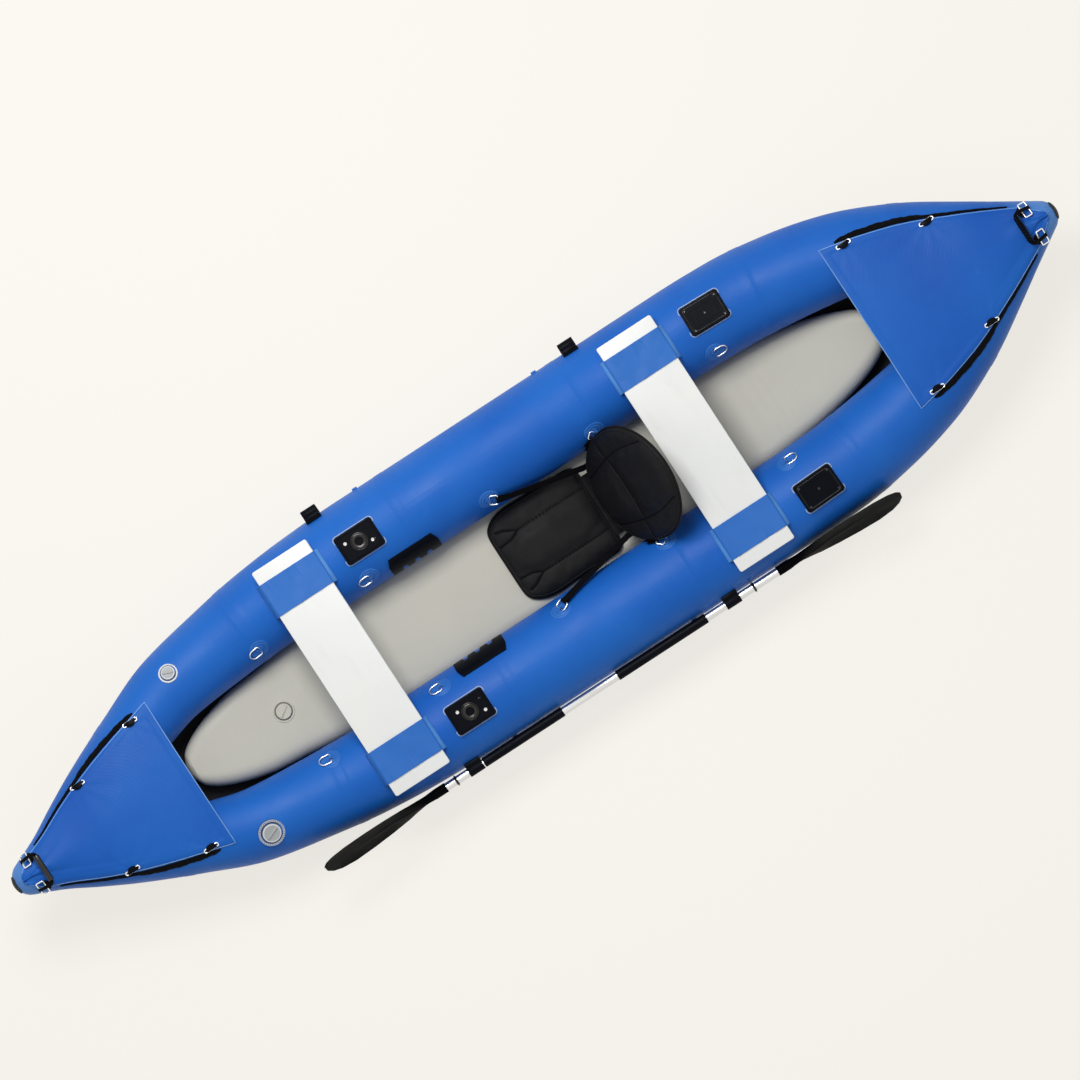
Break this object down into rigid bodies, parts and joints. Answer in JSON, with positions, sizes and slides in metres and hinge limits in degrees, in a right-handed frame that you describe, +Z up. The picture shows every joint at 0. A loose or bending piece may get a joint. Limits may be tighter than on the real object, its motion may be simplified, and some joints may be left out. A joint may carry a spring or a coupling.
{
  "type": "inflatable kayak",
  "caption": "Two-tube inflatable river kayak with air floor, spray decks, bench boards, padded folding seat and a stowed two-bladed paddle.",
  "frame": {"origin": "middle of the flat underside of the bottom sheet, midway between the noses", "axes": "+X towards the bow, +Y to port, +Z up"},
  "size_m": [3.966, 1.0412, 0.5062],
  "materials": {
    "blue_pvc": "satin coated fabric",
    "grey_pvc": "matt coated fabric",
    "dark_bottom_pvc": "matt coated fabric",
    "black_webbing": "woven webbing",
    "black_plastic": "satin moulded plastic",
    "black_padding": "coated cover over foam",
    "white_board": "smooth white",
    "stainless_steel": "polished",
    "silver_alloy": "satin anodised",
    "valve_grey": "moulded"
  },
  "bodies": {
    "hull": {"air_floor": "grey_pvc", "bottom_skin": "dark_bottom_pvc", "bow_deck": "blue_pvc", "bow_deck_line_port": "black_webbing", "bow_deck_line_starboard": "black_webbing", "bow_handle_strap": "black_webbing", "bow_plate_port": "black_plastic", "bow_plate_starboard": "black_plastic", "bow_sleeve_port": "blue_pvc", "bow_sleeve_starboard": "blue_pvc", "floor_valve_body": "valve_grey", "foot_rack_port": "black_plastic", "foot_rack_starboard": "black_plastic", "seat_base": "black_padding", "seat_front_ring_port": "stainless_steel", "seat_front_ring_starboard": "stainless_steel", "seat_front_strap_port": "black_webbing", "seat_front_strap_starboard": "black_webbing", "seat_rear_ring_port": "stainless_steel", "seat_rear_ring_starboard": "stainless_steel", "seat_rear_strap_port": "black_webbing", "seat_rear_strap_starboard": "black_webbing", "stern_deck": "blue_pvc", "stern_deck_line_port": "black_webbing", "stern_deck_line_starboard": "black_webbing", "stern_handle_strap": "black_webbing", "stern_plate_port": "black_plastic", "stern_plate_starboard": "black_plastic", "stern_sleeve_port": "blue_pvc", "stern_sleeve_starboard": "blue_pvc", "tube_port": "blue_pvc", "tube_starboard": "blue_pvc", "valve_port_body": "valve_grey", "valve_starboard_body": "valve_grey"},
    "bow_ring_port": {"bow_ring_port": "stainless_steel"},
    "bow_ring_starboard": {"bow_ring_starboard": "stainless_steel"},
    "mid_ring_port": {"mid_ring_port": "stainless_steel"},
    "mid_ring_starboard": {"mid_ring_starboard": "stainless_steel"},
    "stern_ring_port": {"stern_ring_port": "stainless_steel"},
    "stern_ring_starboard": {"stern_ring_starboard": "stainless_steel"},
    "bow_handle_grip": {"bow_handle_grip": "black_plastic"},
    "stern_handle_grip": {"stern_handle_grip": "black_plastic"},
    "valve_port_cap": {"valve_port_cap": "valve_grey"},
    "valve_starboard_cap": {"valve_starboard_cap": "valve_grey"},
    "floor_valve_cap": {"floor_valve_cap": "valve_grey"},
    "seat_back": {"seat_back": "black_padding"},
    "bow_bench": {"bow_bench": "white_board"},
    "stern_bench": {"stern_bench": "white_board"},
    "bow_flap_port": {"bow_flap_port": "black_webbing"},
    "bow_flap_starboard": {"bow_flap_starboard": "black_webbing"},
    "stern_flap_port": {"stern_flap_port": "black_webbing"},
    "stern_flap_starboard": {"stern_flap_starboard": "black_webbing"},
    "paddle": {"paddle_shaft": "silver_alloy", "bow_blade": "black_plastic", "stern_blade": "black_plastic", "bow_hand_grip": "black_plastic", "stern_hand_grip": "black_plastic", "bow_drip_ring": "black_plastic", "stern_drip_ring": "black_plastic"}
  },
  "joints": [
    {"name": "bow_ring_port_swing", "type": "hinge", "parent": "hull", "child": "bow_ring_port", "pos_m": [0.91853, 0.20682, 0.25177], "axis": [-0.0548, -0.7135, -0.6985], "range_deg": [0, 150]},
    {"name": "bow_ring_starboard_swing", "type": "hinge", "parent": "hull", "child": "bow_ring_starboard", "pos_m": [0.91853, -0.20682, 0.25177], "axis": [0.0548, -0.7135, 0.6985], "range_deg": [0, 150]},
    {"name": "mid_ring_port_swing", "type": "hinge", "parent": "hull", "child": "mid_ring_port", "pos_m": [0.49799, 0.20652, 0.25764], "axis": [-0.0089, -0.6551, -0.7555], "range_deg": [0, 150]},
    {"name": "mid_ring_starboard_swing", "type": "hinge", "parent": "hull", "child": "mid_ring_starboard", "pos_m": [0.49799, -0.20652, 0.25764], "axis": [0.0089, -0.6551, 0.7555], "range_deg": [0, 150]},
    {"name": "stern_ring_port_swing", "type": "hinge", "parent": "hull", "child": "stern_ring_port", "pos_m": [-0.82483, 0.20655, 0.25955], "axis": [0.0042, 0.6609, 0.7505], "range_deg": [0, 150]},
    {"name": "stern_ring_starboard_swing", "type": "hinge", "parent": "hull", "child": "stern_ring_starboard", "pos_m": [-0.82483, -0.20655, 0.25955], "axis": [-0.0042, 0.6609, -0.7505], "range_deg": [0, 150]},
    {"name": "bow_handle_lift", "type": "hinge", "parent": "hull", "child": "bow_handle_grip", "pos_m": [1.9127, 0, 0.38937], "axis": [0, 1, 0], "range_deg": [0, 100], "deforming": ["bow_handle_strap"]},
    {"name": "stern_handle_lift", "type": "hinge", "parent": "hull", "child": "stern_handle_grip", "pos_m": [-1.90189, 0, 0.39083], "axis": [0, -1, 0], "range_deg": [0, 100], "deforming": ["stern_handle_strap"]},
    {"name": "valve_port_twist", "type": "hinge", "parent": "hull", "child": "valve_port_cap", "pos_m": [1.20371, 0.30484, 0.30066], "axis": [-0.1023, 0.314, 0.9439], "range_deg": [0, 90]},
    {"name": "valve_starboard_twist", "type": "hinge", "parent": "hull", "child": "valve_starboard_cap", "pos_m": [1.20371, -0.30484, 0.30066], "axis": [-0.1023, -0.314, 0.9439], "range_deg": [0, 90]},
    {"name": "floor_valve_twist", "type": "hinge", "parent": "hull", "child": "floor_valve_cap", "pos_m": [0.97272, 0, 0.11933], "axis": [-0.0991, 0, 0.9951], "range_deg": [0, 90]},
    {"name": "seat_back_fold", "type": "hinge", "parent": "hull", "child": "seat_back", "pos_m": [-0.258, 0, 0.138], "axis": [0, 1, 0], "range_deg": [0, 34], "deforming": ["seat_front_strap_port", "seat_front_strap_starboard", "seat_rear_strap_port", "seat_rear_strap_starboard"]},
    {"name": "bow_bench_slide", "type": "slide", "parent": "hull", "child": "bow_bench", "axis": [0, 1, 0], "range_m": [-0.9, 0.9]},
    {"name": "stern_bench_slide", "type": "slide", "parent": "hull", "child": "stern_bench", "axis": [0, 1, 0], "range_m": [-0.9, 0.9]},
    {"name": "bow_flap_port_open", "type": "hinge", "parent": "hull", "child": "bow_flap_port", "pos_m": [0.5475, 0.47009, 0.22184], "axis": [1, 0, 0], "range_deg": [0, 90]},
    {"name": "bow_flap_starboard_open", "type": "hinge", "parent": "hull", "child": "bow_flap_starboard", "pos_m": [0.5475, -0.47009, 0.22184], "axis": [-1, 0, 0], "range_deg": [0, 90]},
    {"name": "stern_flap_port_open", "type": "hinge", "parent": "hull", "child": "stern_flap_port", "pos_m": [-0.439, 0.47009, 0.22184], "axis": [1, 0, 0], "range_deg": [0, 90]},
    {"name": "stern_flap_starboard_open", "type": "hinge", "parent": "hull", "child": "stern_flap_starboard", "pos_m": [-0.439, -0.47009, 0.22184], "axis": [-1, 0, 0], "range_deg": [0, 90]},
    {"name": "paddle_slide", "type": "slide", "parent": "hull", "child": "paddle", "axis": [1, 0, 0], "range_m": [-0.04, 0.003]}
  ]
}
